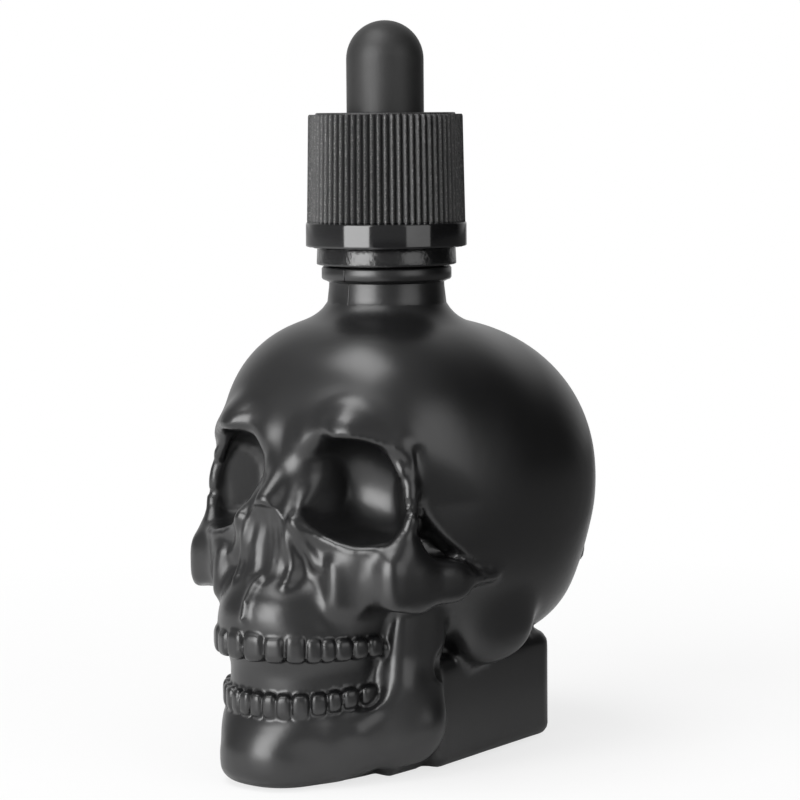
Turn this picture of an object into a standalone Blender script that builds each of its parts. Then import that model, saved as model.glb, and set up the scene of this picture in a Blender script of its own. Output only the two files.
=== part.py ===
"""A skull shaped dropper bottle for bitters, about 60 ml, in black glass.

The bottle stands on its base at z = 0, its face looks along -Y and the axis of
its neck is the Z axis.  The closure is a push and turn cap in two shells over a
thread, with a tamper ring that stays on the neck, a rubber bulb and a pipette.
"""

import math

import bmesh
import bpy
import numpy as np

# Driving sizes of the skull, in metres
SKULL_HEIGHT = 0.0630
SKULL_WIDTH = 0.0508
SKULL_DEPTH = 0.0642
GLASS_WALL = 0.0028
TOP_WALL = 0.0030
BASE_WALL = 0.0042

# The neck and its moulded finish
NECK_RADIUS = 0.0086
NECK_TOP_RADIUS = 0.0082
NECK_LENGTH = 0.0054
NECK_FILLET = 0.0022
NECK_SINK = 0.0040
BORE_RADIUS = 0.00575
CARRY_BEAD_REACH = 0.00107
CARRY_BEAD_HEIGHT = 0.0018
CARRY_BEAD_SLOPE = 0.0004
LOCK_BEAD_REACH = 0.0007
LOCK_BEAD_HEIGHT = 0.0011
LOCK_BEAD_SLOPE = 0.0003
FINISH_HEIGHT = 0.0147
LIP_ROUNDING = 0.0007
THREAD_PITCH = 0.0030
THREAD_DEPTH = 0.0008
THREAD_ROOT_WIDTH = 0.0015
THREAD_CREST_WIDTH = 0.0007
THREAD_SINK = 0.0004
THREAD_TOP_MARGIN = 0.0019
THREAD_TURNS = 1.25
THREAD_END_SHARE = 0.15
THREAD_RISE = 8

# The tamper ring
RING_REACH = 0.0018
RING_HEIGHT = 0.0023
RING_WALL = 0.0008
RING_LIP_THICKNESS = 0.0009
RING_LIP_CLEARANCE = 0.00035
RING_EDGE = 0.0002

# The inner cap
INNER_CAP_WALL = 0.0008
INNER_CAP_LIFT = 0.00085
INNER_CAP_FLANGE = 0.0005
INNER_CAP_FLANGE_HEIGHT = 0.0009
INNER_CAP_TOP = 0.0013
THREAD_CLEARANCE = 0.00035

# The outer cap
COLLAR_WALL = 0.00053
COLLAR_HEIGHT = 0.0035
COLLAR_EDGE = 0.0003
RIB_FOOT_WALL = 0.0009
RIB_HEAD_WALL = 0.00057
RIB_DEPTH = 0.00036
RIB_COUNT = 72
CROWN_INSET = 0.00127
CROWN_HEIGHT = 0.0006
OUTER_CAP_TOP = 0.0020
SNAP_BEAD_HEIGHT = 0.0005
LUG_HEIGHT = 0.0008
LUG_GAP = 0.0004
LUG_GRIP = 0.0005
LUG_COUNT = 8
LUG_INSET = 0.0004
LUG_LENGTH = 0.0020
LUG_WIDTH = 0.0022

# The rubber bulb
BULB_RADIUS = 0.0055
BULB_HEIGHT = 0.0130
BULB_WALL = 0.0012
BULB_WAIST_INSET = 0.0006
BULB_FLANGE_INSET = 0.0003
BULB_FLANGE_THICKNESS = 0.0012
BULB_FOOT_SLOPE = 0.0004

# The glass pipette
PIPETTE_RADIUS = 0.0035
PIPETTE_WALL = 0.0009
PIPETTE_LENGTH = 0.0770
PIPETTE_SEAT = 0.0098
PIPETTE_TAPER = 0.0130
PIPETTE_TIP_RADIUS = 0.0013
PIPETTE_TIP_BORE = 0.0006
PIPETTE_EDGE = 0.0002

# Clearances, and how far a cutter runs past the face it cuts
REST_GAP = 0.0003
SIDE_GAP = 0.0003
OVERRUN = 0.0010

# Counts
TURN_STEPS = 40
SMALL_TURN_STEPS = 28
THREAD_STEPS = 20
FILLET_STEPS = 4
LIP_STEPS = 3
DOME_STEPS = 7
DOME_INNER_STEPS = 5
FILLET_START_ANGLE = 250
SHARP_ANGLE = math.radians(35)

# Levels that follow from the sizes
bead_foot = SKULL_HEIGHT + NECK_LENGTH
bead_top = bead_foot + CARRY_BEAD_HEIGHT
lip_top = bead_top + FINISH_HEIGHT
ring_foot = bead_top + REST_GAP
ring_top = ring_foot + RING_HEIGHT
lock_bead_foot = ring_foot + RING_LIP_THICKNESS + REST_GAP
outer_cap_foot = ring_top + REST_GAP
inner_cap_foot = outer_cap_foot + INNER_CAP_LIFT
flange_foot = lip_top + REST_GAP
flange_top = flange_foot + BULB_FLANGE_THICKNESS
inner_cap_ceiling = flange_top + REST_GAP
inner_cap_top = inner_cap_ceiling + INNER_CAP_TOP
outer_cap_ceiling = inner_cap_top + LUG_HEIGHT + LUG_GAP + LUG_HEIGHT
outer_cap_top = outer_cap_ceiling + OUTER_CAP_TOP
push_travel = LUG_GAP + LUG_GRIP
flange_pocket_top = inner_cap_foot + INNER_CAP_FLANGE_HEIGHT + push_travel + REST_GAP
collar_top = outer_cap_foot + COLLAR_HEIGHT
bulb_top = outer_cap_top + BULB_HEIGHT
pipette_top = flange_foot + PIPETTE_SEAT
pipette_foot = pipette_top - PIPETTE_LENGTH

# Radii that follow from the sizes
carry_bead_radius = NECK_TOP_RADIUS + CARRY_BEAD_REACH
lock_bead_radius = NECK_TOP_RADIUS + LOCK_BEAD_REACH
ring_radius = NECK_TOP_RADIUS + RING_REACH
ring_lip_radius = NECK_TOP_RADIUS + RING_LIP_CLEARANCE
thread_crest_radius = NECK_TOP_RADIUS + THREAD_DEPTH
inner_cap_bore = thread_crest_radius + SIDE_GAP
inner_cap_radius = inner_cap_bore + INNER_CAP_WALL
inner_flange_radius = inner_cap_radius + INNER_CAP_FLANGE
outer_cap_bore = inner_cap_radius + SIDE_GAP
collar_bore = inner_flange_radius + SIDE_GAP
snap_bead_radius = (inner_cap_radius + inner_flange_radius) / 2
collar_radius = collar_bore + COLLAR_WALL
rib_foot_radius = outer_cap_bore + RIB_FOOT_WALL
rib_head_radius = outer_cap_bore + RIB_HEAD_WALL
crown_radius = rib_head_radius - CROWN_INSET
lug_outer_radius = inner_cap_bore - LUG_INSET
bulb_waist_radius = BULB_RADIUS - BULB_WAIST_INSET
bulb_flange_radius = NECK_TOP_RADIUS - BULB_FLANGE_INSET

# The clay of the skull, in shares of its height at its modelled proportions.
# A lump has a centre, radii, squareness, turn about Z and tilt about X in
# degrees, and a blend; a bar has two ends, two radii and a blend; a box has a
# centre, half sizes, rounding and a blend.
MODELLED_WIDTH_SHARE = 0.806
MODELLED_DEPTH_SHARE = 1.019
HEAD_SHARES = (
    # The broad rear and the narrower front of the vault
    ("add", "lump", (0, 0.114, 0.619), (0.400, 0.403, 0.371), 2.15, 0, 0, 0),
    ("add", "lump", (0, -0.051, 0.660), (0.338, 0.290, 0.359), 2.45, 0, 0, 0.079),
    # The back of the head and the bone behind the ear
    ("add", "lump", (0, 0.151, 0.429), (0.314, 0.349, 0.200), 2.4, 0, 0, 0.079),
    ("add", "lump", (0.241, 0.040, 0.357), (0.083, 0.119, 0.127), 2.3, -12, 0, 0.040),
    # The hollow of the temple
    ("cut", "bar", (0.373, -0.222, 0.746), (0.384, -0.187, 0.548), (0.051, 0.089), 0.063),
    # The flat pad on the back of the head
    ("add", "box", (0, 0.381, 0.476), (0.162, 0.138, 0.114), 0.019, 0.010),
    # The brow and the outer rim of the eye socket
    ("add", "bar", (0.087, -0.270, 0.740), (0.222, -0.248, 0.765), (0.057, 0.051), 0.056),
    ("add", "bar", (0.230, -0.244, 0.759), (0.292, -0.232, 0.659), (0.044, 0.032), 0.040),
    ("add", "bar", (0.292, -0.232, 0.659), (0.294, -0.246, 0.540), (0.032, 0.040), 0.032),
    # The middle of the face and the upper jaw
    ("add", "lump", (0, -0.183, 0.540), (0.238, 0.168, 0.190), 2.4, 0, 0, 0.079),
    ("add", "lump", (0, -0.232, 0.397), (0.194, 0.229, 0.148), 2.3, 0, 0, 0.063),
    # The cheekbone, the plate inside it and the arch behind it
    ("add", "lump", (0.249, -0.259, 0.460), (0.083, 0.083, 0.102), 2.5, 35, 0, 0.040),
    ("add", "lump", (0.135, -0.263, 0.489), (0.079, 0.086, 0.079), 2.4, 0, 0, 0.048),
    ("add", "lump", (0.324, -0.146, 0.444), (0.037, 0.152, 0.054), 2.4, -21, 6, 0.032),
    # The inner side and the lower rim of the eye socket
    ("add", "bar", (0.073, -0.311, 0.690), (0.110, -0.363, 0.563), (0.032, 0.035), 0.032),
    ("add", "bar", (0.110, -0.359, 0.549), (0.206, -0.330, 0.517), (0.035, 0.038), 0.032),
    # The wall inside the open mouth
    ("add", "lump", (0, -0.206, 0.206), (0.175, 0.203, 0.349), 2.6, 0, 0, 0.032),
    # The hollow under the cheekbone
    ("cut", "lump", (0.257, -0.310, 0.346), (0.057, 0.095, 0.067), 2.2, 0, 0, 0.024),
)
JAW_SHARES = (
    # The chin, the body of the jaw, its upper edge and its rising branch
    ("add", "lump", (0, -0.251, 0.051), (0.190, 0.206, 0.117), 2.9, 0, 0, 0),
    ("add", "bar", (0.111, -0.341, 0.076), (0.224, -0.143, 0.121), (0.063, 0.057), 0.048),
    ("add", "bar", (0.167, -0.325, 0.119), (0.238, -0.214, 0.183), (0.038, 0.041), 0.040),
    ("add", "lump", (0.216, -0.152, 0.270), (0.070, 0.130, 0.214), 2.8, 4, -8, 0.048),
)
BASE_SHARES = (
    # The block under the head and the plinth that joins it to the jaw
    ("add", "box", (0, 0.127, 0.119), (0.235, 0.227, 0.135), 0.035, 0.008),
    ("add", "box", (0, -0.095, 0.032), (0.200, 0.143, 0.048), 0.019, 0.010),
)
HOLLOW_SHARES = (
    # The eye socket, the bridge of the nose and the opening below it
    ("cut", "lump", (0.189, -0.333, 0.649), (0.117, 0.130, 0.102), 2.6, 14, 6, 0.016),
    ("add", "bar", (0, -0.286, 0.708), (0, -0.386, 0.625), (0.043, 0.037), 0.038),
    ("cut", "lump", (0, -0.454, 0.517), (0.076, 0.089, 0.110), 2.2, 0, -6, 0.008),
)
JAW_BLEND_SHARE = 0.016
THROAT_SHARES = ((0, -0.040, 0.130), (0, 0.010, 0.450), (0.170, 0.190))
THROAT_BLEND_SHARE = 0.060
HEEL_SHARE = 0.051

# Raised and sunk lines of the face, drawn on its front: points as x and z, the
# half width and the height, in the same shares
FRONT_FADE_SHARES = (0.222, 0.286)
FACE_LINE_SHARES = (
    (((0.100, 0.594), (0.144, 0.554), (0.198, 0.543), (0.246, 0.540)), 0.014, 0.008),
    (((0.100, 0.594), (0.114, 0.540), (0.143, 0.486)), 0.014, 0.008),
    (((0.165, 0.484), (0.178, 0.405)), 0.019, 0.013),
    (((0.141, 0.476), (0.144, 0.389)), 0.019, -0.010),
    (((0.108, 0.429), (0.108, 0.373)), 0.025, 0.008),
    (((0.073, 0.437), (0.070, 0.373)), 0.016, -0.006),
    (((0, 0.457), (0, 0.373)), 0.011, 0.011),
)

# The two rows of teeth: the centre and half axes of the dental arch, the level
# of the biting edge, and for each tooth its angle in degrees, half width and
# height
UPPER_ARCH_SHARES = (-0.248, 0.197, 0.237)
LOWER_ARCH_SHARES = (-0.238, 0.184, 0.216)
UPPER_EDGE_SHARE = 0.284
LOWER_EDGE_SHARE = 0.208
LOWER_DROOP_SHARE = 0.756
LOWER_DROOP_START_SHARE = 0.079
UPPER_TOOTH_SHARES = (
    (7.4, 0.0246, 0.057),
    (21.2, 0.0214, 0.052),
    (34.0, 0.0214, 0.062),
    (44.6, 0.0167, 0.056),
    (52.6, 0.0151, 0.054),
    (61.5, 0.0198, 0.052),
    (71.5, 0.0175, 0.051),
    (81.5, 0.0190, 0.054),
)
LOWER_TOOTH_SHARES = (
    (4.8, 0.0159, 0.056),
    (14.4, 0.0159, 0.056),
    (24.0, 0.0167, 0.056),
    (34.5, 0.0190, 0.057),
    (45.5, 0.0175, 0.051),
    (55.0, 0.0159, 0.048),
    (65.0, 0.0183, 0.046),
    (77.0, 0.0198, 0.044),
)
TOOTH_THICKNESS_SHARE = 0.020
TOOTH_BLEND_SHARE = 0.008
TOOTH_SQUARENESS = 3.2

# How the skin is drawn onto the clay: rings up the sides, rings over the top,
# the level where the rays begin to fan out, and the reach of the rays
SIDE_RINGS = 90
TOP_RINGS = 60
RING_STEPS = 240
FAN_LEVEL_SHARE = 0.60
REACH_SHARE = 0.75
SKIN_TRIANGLES = 7000
CAVITY_SIDE_RINGS = 16
CAVITY_TOP_RINGS = 12
CAVITY_STEPS = 40
CAVITY_TRIANGLES = 1300
TRACE_STEPS = 70
TRACE_RELAXATION = 0.6
TRACE_TOLERANCE_SHARE = 0.00005


def unit_distance(offsets, radii, squareness):
    """Distance to a rounded lump along the line to its centre."""
    scaled = np.abs(offsets / np.array(radii)) ** squareness
    size = np.maximum(scaled.sum(axis=1) ** (1 / squareness), 1e-6)
    length = np.sqrt((offsets ** 2).sum(axis=1))
    return length - length / size


def lump(points, centre, radii, squareness, turn, tilt):
    offsets = points - np.array(centre)
    turned_x = offsets[:, 0] * math.cos(math.radians(turn)) + offsets[:, 1] * math.sin(math.radians(turn))
    turned_y = offsets[:, 1] * math.cos(math.radians(turn)) - offsets[:, 0] * math.sin(math.radians(turn))
    tilted_y = turned_y * math.cos(math.radians(tilt)) + offsets[:, 2] * math.sin(math.radians(tilt))
    tilted_z = offsets[:, 2] * math.cos(math.radians(tilt)) - turned_y * math.sin(math.radians(tilt))
    return unit_distance(np.stack([turned_x, tilted_y, tilted_z], axis=1), radii, squareness)


def bar(points, start, end, radii):
    start = np.array(start, dtype=float)
    along = np.array(end, dtype=float) - start
    place = np.clip((points - start) @ along / (along @ along), 0, 1)
    distance = np.sqrt(((points - start - place[:, None] * along) ** 2).sum(axis=1))
    return distance - (radii[0] + (radii[1] - radii[0]) * place)


def box(points, centre, half, rounding):
    offsets = np.abs(points - np.array(centre)) - np.array(half) + rounding
    outside = np.sqrt((np.maximum(offsets, 0) ** 2).sum(axis=1))
    return outside + np.minimum(offsets.max(axis=1), 0) - rounding


def blended_least(first, second, blend):
    """The smaller of two distances, with a rounded seam as wide as the blend."""
    if not blend:
        return np.minimum(first, second)
    mix = np.clip((second - first) / (blend + blend) + 1 / 2, 0, 1)
    return second * (1 - mix) + first * mix - blend * mix * (1 - mix)


def build_up(points, distance, table):
    """Add and cut the shapes of one table in their order."""
    for row in table:
        way, kind, blend = row[0], row[1], row[-1]
        if kind == "lump":
            shape = lump(points, *row[2:7])
        elif kind == "bar":
            shape = bar(points, row[2], row[3], row[4])
        else:
            shape = box(points, row[2], row[3], row[4])
        if distance is None:
            distance = shape
        elif way == "cut":
            distance = -blended_least(-distance, shape, blend)
        else:
            distance = blended_least(distance, shape, blend)
    return distance


def face_line(points, line, width, height):
    """Height of a ridge that follows a line on the front of the face."""
    front = points[:, [0, 2]]
    nearest = None
    for start, end in zip(line[:-1], line[1:]):
        start = np.array(start)
        along = np.array(end) - start
        place = np.clip((front - start) @ along / (along @ along), 0, 1)
        distance = np.sqrt(((front - start - place[:, None] * along) ** 2).sum(axis=1))
        nearest = distance if nearest is None else np.minimum(nearest, distance)
    fade = np.clip((-points[:, 1] - FRONT_FADE_SHARES[0]) / (FRONT_FADE_SHARES[1] - FRONT_FADE_SHARES[0]), 0, 1)
    return height * np.exp(-(nearest / width) ** 2) * fade * fade * (3 - 2 * fade)


def tooth_row(points, arch, edge, teeth, direction):
    """The teeth of one jaw, each square to the dental arch."""
    centre, half_width, half_depth = arch
    nearest = None
    for angle, width, height in teeth:
        angle = math.radians(angle)
        offset_x = points[:, 0] - half_width * math.sin(angle)
        offset_y = points[:, 1] - centre + half_depth * math.cos(angle)
        tangent = math.hypot(half_width * math.cos(angle), half_depth * math.sin(angle))
        along_x = half_width * math.cos(angle) / tangent
        along_y = half_depth * math.sin(angle) / tangent
        along = offset_x * along_x + offset_y * along_y
        across = offset_x * along_y - offset_y * along_x
        up = points[:, 2] - edge - direction * height / 2
        shape = unit_distance(np.stack([along, across, up], axis=1),
                              (width, TOOTH_THICKNESS_SHARE, height / 2), TOOTH_SQUARENESS)
        nearest = shape if nearest is None else np.minimum(nearest, shape)
    return nearest


def clay(points, detail):
    """Distance to the outer skin of the skull, the base not yet cut flat."""
    points = np.array(points, dtype=float)
    points[:, 0] = np.abs(points[:, 0])
    distance = build_up(points, None, HEAD_SHARES)
    jaw = build_up(points, None, JAW_SHARES)
    distance = blended_least(distance, jaw, JAW_BLEND_SHARE)
    distance = build_up(points, distance, BASE_SHARES)
    distance = build_up(points, distance, HOLLOW_SHARES)
    if detail:
        for line, width, height in FACE_LINE_SHARES:
            distance = distance - face_line(points, line, width, height)
        teeth = tooth_row(points, UPPER_ARCH_SHARES, UPPER_EDGE_SHARE, UPPER_TOOTH_SHARES, 1)
        distance = blended_least(distance, teeth, TOOTH_BLEND_SHARE)
        droop = LOWER_DROOP_SHARE * np.maximum(points[:, 0] - LOWER_DROOP_START_SHARE, 0) ** 2
        lowered = points - np.stack([0 * droop, 0 * droop, droop], axis=1)
        teeth = tooth_row(lowered, LOWER_ARCH_SHARES, LOWER_EDGE_SHARE, LOWER_TOOTH_SHARES, -1)
        distance = blended_least(distance, teeth, TOOTH_BLEND_SHARE)
    return distance


def skin(points):
    """Distance to the outer skin with the rounded heel of the flat base."""
    distance = clay(points, True)
    return -blended_least(-distance, points[:, 2], HEEL_SHARE)


def cavity(points):
    """Distance to the inside face of the glass."""
    wall = GLASS_WALL / SKULL_HEIGHT
    top = 1 - TOP_WALL / SKULL_HEIGHT
    distance = clay(points, False)
    throat = bar(points, *THROAT_SHARES)
    distance = blended_least(distance, throat, THROAT_BLEND_SHARE) + wall
    distance = -blended_least(-distance, points[:, 2] - BASE_WALL / SKULL_HEIGHT, HEEL_SHARE)
    return np.maximum(distance, points[:, 2] - top)


def along_rays(shape, starts, directions, from_outside):
    """Where rays from the middle of the head meet a shape."""
    reach = np.full(len(starts), REACH_SHARE if from_outside else 0.0)
    moving = np.arange(len(starts))
    for _ in range(TRACE_STEPS):
        distance = shape(starts[moving] + reach[moving, None] * directions[moving])
        step = np.maximum(distance if from_outside else -distance, 0) * TRACE_RELAXATION
        reach[moving] += -step if from_outside else step
        moving = moving[step > TRACE_TOLERANCE_SHARE]
        if not len(moving):
            break
    return starts + np.maximum(reach, 0)[:, None] * directions


def to_metres(points):
    """From shares of the skull's height to its real width, depth and height."""
    return points * np.array([SKULL_WIDTH / MODELLED_WIDTH_SHARE,
                              SKULL_DEPTH / MODELLED_DEPTH_SHARE,
                              SKULL_HEIGHT])


def drawn_rings(shape, floor, side_rings, top_rings, steps, from_outside):
    """Closed rings of points on a shape, from its floor to its top point."""
    angles = np.arange(steps) * math.tau / steps + math.pi / steps
    around = np.stack([np.sin(angles), -np.cos(angles), 0 * angles], axis=1)
    up = np.array([0.0, 0.0, 1.0])
    starts = []
    directions = []
    for index in range(side_rings):
        level = floor + (FAN_LEVEL_SHARE - floor) * index / side_rings
        starts.append(np.tile(up * level, (steps, 1)))
        directions.append(around)
    for index in range(top_rings):
        rise = math.pi / 2 * index / top_rings
        starts.append(np.tile(up * FAN_LEVEL_SHARE, (steps, 1)))
        directions.append(around * math.cos(rise) + up * math.sin(rise))
    starts.append(up[None, :] * FAN_LEVEL_SHARE)
    directions.append(up[None, :])
    points = along_rays(shape, np.concatenate(starts), np.concatenate(directions), from_outside)
    rings = [points[index * steps:(index + 1) * steps] for index in range(side_rings + top_rings)]
    return rings, points[-1]


def closed_skin(name, rings, peak, triangles):
    """A closed mesh over rings of points, with a flat floor, then thinned."""
    mesh_data = bmesh.new()
    loops = []
    for ring in rings:
        loops.append([mesh_data.verts.new(point) for point in to_metres(ring)])
    for lower, upper in zip(loops[:-1], loops[1:]):
        for index in range(len(lower)):
            following = (index + 1) % len(lower)
            mesh_data.faces.new((lower[index], lower[following], upper[following], upper[index]))
    top = mesh_data.verts.new(to_metres(peak))
    for index in range(len(loops[-1])):
        mesh_data.faces.new((loops[-1][index], loops[-1][(index + 1) % len(loops[-1])], top))
    mesh_data.faces.new(loops[0][::-1])
    bmesh.ops.recalc_face_normals(mesh_data, faces=mesh_data.faces)
    bmesh.ops.triangulate(mesh_data, faces=mesh_data.faces)
    count = len(mesh_data.faces)
    skull = new_object(name, mesh_data)
    thin = skull.modifiers.new("thin", "DECIMATE")
    thin.ratio = triangles / count
    return skull


def new_object(name, mesh_data):
    """A named object at the origin from a bmesh, with its normals outward."""
    mesh = bpy.data.meshes.new(name)
    mesh_data.to_mesh(mesh)
    mesh_data.free()
    result = bpy.data.objects.new(name, mesh)
    bpy.context.collection.objects.link(result)
    return result


def turned(name, outline, steps):
    """A solid of revolution about Z from points of radius and height."""
    mesh_data = bmesh.new()
    corners = [mesh_data.verts.new((radius, 0, height)) for radius, height in outline]
    edges = []
    for start, end in zip(corners, corners[1:] + corners[:1]):
        if start.co.x > REST_GAP / 2 or end.co.x > REST_GAP / 2:
            edges.append(mesh_data.edges.new((start, end)))
    bmesh.ops.spin(mesh_data, geom=corners + edges, cent=(0, 0, 0), axis=(0, 0, 1),
                   angle=math.tau, steps=steps, use_merge=True)
    on_axis = [corner for corner in mesh_data.verts if corner.co.xy.length < REST_GAP / 2]
    bmesh.ops.remove_doubles(mesh_data, verts=on_axis, dist=REST_GAP / 2)
    bmesh.ops.recalc_face_normals(mesh_data, faces=mesh_data.faces)
    return new_object(name, mesh_data)


def arc(centre_radius, centre_height, radius, start, end, count):
    """Points of an arc in the plane of radius and height, angles in degrees."""
    points = []
    for index in range(count + 1):
        angle = math.radians(start + (end - start) * index / count)
        points.append((centre_radius + radius * math.cos(angle), centre_height + radius * math.sin(angle)))
    return points


def thread(name, root, crest, foot):
    """One ridge wound up a cylinder, fading in and out at its ends."""
    mesh_data = bmesh.new()
    count = round(THREAD_TURNS * THREAD_STEPS)
    side = 1 if crest > root else -1
    previous = None
    base = root - side * THREAD_SINK
    for index in range(count + 1):
        share = index / count
        fade = min(1, THREAD_END_SHARE + THREAD_RISE * min(share, 1 - share))
        angle = share * THREAD_TURNS * math.tau + math.pi / TURN_STEPS
        height = foot + share * THREAD_TURNS * THREAD_PITCH
        section = (
            (base, height - THREAD_ROOT_WIDTH / 2),
            (root, height - THREAD_ROOT_WIDTH / 2),
            (crest, height - THREAD_CREST_WIDTH / 2),
            (crest, height + THREAD_CREST_WIDTH / 2),
            (root, height + THREAD_ROOT_WIDTH / 2),
            (base, height + THREAD_ROOT_WIDTH / 2),
        )
        corners = []
        for radius, level in section:
            reach = base + (radius - base) * fade
            corners.append(mesh_data.verts.new((reach * math.cos(angle), reach * math.sin(angle), level)))
        if previous:
            for corner in range(len(corners)):
                following = (corner + 1) % len(corners)
                mesh_data.faces.new((previous[corner], previous[following], corners[following], corners[corner]))
        else:
            mesh_data.faces.new(corners)
        previous = corners
    mesh_data.faces.new(previous[::-1])
    bmesh.ops.recalc_face_normals(mesh_data, faces=mesh_data.faces)
    return new_object(name, mesh_data)


def combine(target, operand, operation):
    """Join or cut a helper solid, which is then only a guide."""
    step = target.modifiers.new(operand.name, "BOOLEAN")
    step.operation = operation
    step.object = operand
    step.solver = "EXACT"
    operand.hide_render = True
    operand.display_type = "WIRE"


def painted(target, name, colour, roughness, metallic=0.0, transmission=0.0):
    """Give an object its own material."""
    material = bpy.data.materials.new(name)
    material.use_nodes = True
    shader = material.node_tree.nodes["Principled BSDF"]
    shader.inputs["Base Color"].default_value = (*colour, 1)
    shader.inputs["Roughness"].default_value = roughness
    shader.inputs["Metallic"].default_value = metallic
    shader.inputs["Transmission Weight"].default_value = transmission
    material.diffuse_color = (*colour, 1)
    target.data.materials.append(material)


def smoothed(target):
    """Shade round faces smooth and keep the edges crisp."""
    target.data.shade_smooth()
    target.data.set_sharp_from_angle(angle=SHARP_ANGLE)


def lugs(name, foot, top, turn):
    """A ring of short driving lugs, each a small block square to the axis."""
    mesh_data = bmesh.new()
    for index in range(LUG_COUNT):
        angle = (index + turn) * math.tau / LUG_COUNT
        made = bmesh.ops.create_cube(mesh_data, size=1)
        for corner in made["verts"]:
            along = lug_outer_radius + (corner.co.x - 1 / 2) * LUG_LENGTH
            across = corner.co.y * LUG_WIDTH
            height = foot + (corner.co.z + 1 / 2) * (top - foot)
            corner.co = (along * math.cos(angle) - across * math.sin(angle),
                         along * math.sin(angle) + across * math.cos(angle), height)
    return new_object(name, mesh_data)


def make_bottle():
    """The glass skull with its neck, finish, thread, cavity and bore."""
    rings, peak = drawn_rings(skin, HEEL_SHARE / RING_STEPS, SIDE_RINGS, TOP_RINGS, RING_STEPS, True)
    below = rings[0] - np.array([0, 0, 2 * OVERRUN / SKULL_HEIGHT])
    bottle = closed_skin("skull_bottle", [below] + rings, peak, SKIN_TRIANGLES)
    mesh_data = bmesh.new()
    for corner in bmesh.ops.create_cube(mesh_data, size=1)["verts"]:
        corner.co.x *= SKULL_WIDTH
        corner.co.y *= SKULL_DEPTH + SKULL_WIDTH
        corner.co.z = (corner.co.z - 1 / 2) * SKULL_HEIGHT
    combine(bottle, new_object("ground_form", mesh_data), "DIFFERENCE")
    root = SKULL_HEIGHT - NECK_FILLET / 2
    outline = [(0, SKULL_HEIGHT - NECK_SINK), (NECK_RADIUS + NECK_FILLET / 2, SKULL_HEIGHT - NECK_SINK)]
    outline += arc(NECK_RADIUS + NECK_FILLET, root + NECK_FILLET, NECK_FILLET, FILLET_START_ANGLE, 180, FILLET_STEPS)
    outline += [
        (NECK_TOP_RADIUS, bead_foot - CARRY_BEAD_SLOPE),
        (carry_bead_radius, bead_foot),
        (carry_bead_radius, bead_top),
        (NECK_TOP_RADIUS, bead_top),
        (NECK_TOP_RADIUS, lock_bead_foot),
        (lock_bead_radius, lock_bead_foot),
        (lock_bead_radius, lock_bead_foot + LOCK_BEAD_HEIGHT - LOCK_BEAD_SLOPE),
        (NECK_TOP_RADIUS, lock_bead_foot + LOCK_BEAD_HEIGHT),
    ]
    outline += arc(NECK_TOP_RADIUS - LIP_ROUNDING, lip_top - LIP_ROUNDING, LIP_ROUNDING, 0, 90, LIP_STEPS)
    outline += [(0, lip_top)]
    combine(bottle, turned("neck_form", outline, TURN_STEPS), "UNION")
    foot = lip_top - THREAD_TOP_MARGIN - THREAD_TURNS * THREAD_PITCH
    form = thread("thread_form", NECK_TOP_RADIUS, thread_crest_radius, foot)
    combine(bottle, form, "UNION")
    rings, peak = drawn_rings(cavity, (BASE_WALL + OVERRUN / RING_STEPS) / SKULL_HEIGHT, CAVITY_SIDE_RINGS,
                              CAVITY_TOP_RINGS, CAVITY_STEPS, False)
    combine(bottle, closed_skin("cavity_form", rings, peak, CAVITY_TRIANGLES), "DIFFERENCE")
    bore = [(0, SKULL_HEIGHT / 2), (BORE_RADIUS, SKULL_HEIGHT / 2)]
    bore += [(BORE_RADIUS, lip_top - LIP_ROUNDING / 2)]
    bore += [(BORE_RADIUS + OVERRUN, lip_top + OVERRUN), (0, lip_top + OVERRUN)]
    combine(bottle, turned("bore_form", bore, TURN_STEPS), "DIFFERENCE")
    painted(bottle, "black_glass", (0.010, 0.010, 0.011), 0.34)
    smoothed(bottle)


def make_tamper_ring():
    """The ring that stays trapped on the neck when the cap is first turned."""
    outline = (
        (ring_radius - RING_EDGE, ring_foot),
        (ring_radius, ring_foot + RING_EDGE),
        (ring_radius, ring_top - RING_EDGE),
        (ring_radius - RING_EDGE, ring_top),
        (ring_radius - RING_WALL, ring_top),
        (ring_radius - RING_WALL, ring_foot + RING_LIP_THICKNESS),
        (ring_lip_radius, ring_foot + RING_LIP_THICKNESS),
        (ring_lip_radius, ring_foot),
    )
    ring = turned("tamper_ring", outline, TURN_STEPS)
    painted(ring, "ring_plastic", (0.012, 0.012, 0.013), 0.38)
    smoothed(ring)


def make_inner_cap():
    """The threaded shell that seals the bottle and carries the outer cap."""
    outline = (
        (inner_cap_bore, inner_cap_foot),
        (inner_flange_radius, inner_cap_foot),
        (inner_flange_radius, inner_cap_foot + INNER_CAP_FLANGE_HEIGHT),
        (inner_cap_radius, inner_cap_foot + INNER_CAP_FLANGE_HEIGHT),
        (inner_cap_radius, inner_cap_top),
        (bulb_waist_radius + SIDE_GAP, inner_cap_top),
        (bulb_waist_radius + SIDE_GAP, inner_cap_ceiling),
        (inner_cap_bore, inner_cap_ceiling),
    )
    cap = turned("inner_cap", outline, TURN_STEPS)
    foot = lip_top - THREAD_TOP_MARGIN - THREAD_TURNS * THREAD_PITCH - THREAD_PITCH / 2
    form = thread("inner_thread_form", inner_cap_bore, NECK_TOP_RADIUS + THREAD_CLEARANCE, foot)
    combine(cap, form, "UNION")
    combine(cap, lugs("inner_lug_form", inner_cap_top - INNER_CAP_TOP / 2, inner_cap_top + LUG_HEIGHT, 1 / 2),
            "UNION")
    painted(cap, "inner_cap_plastic", (0.016, 0.016, 0.017), 0.42)
    smoothed(cap)


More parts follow.
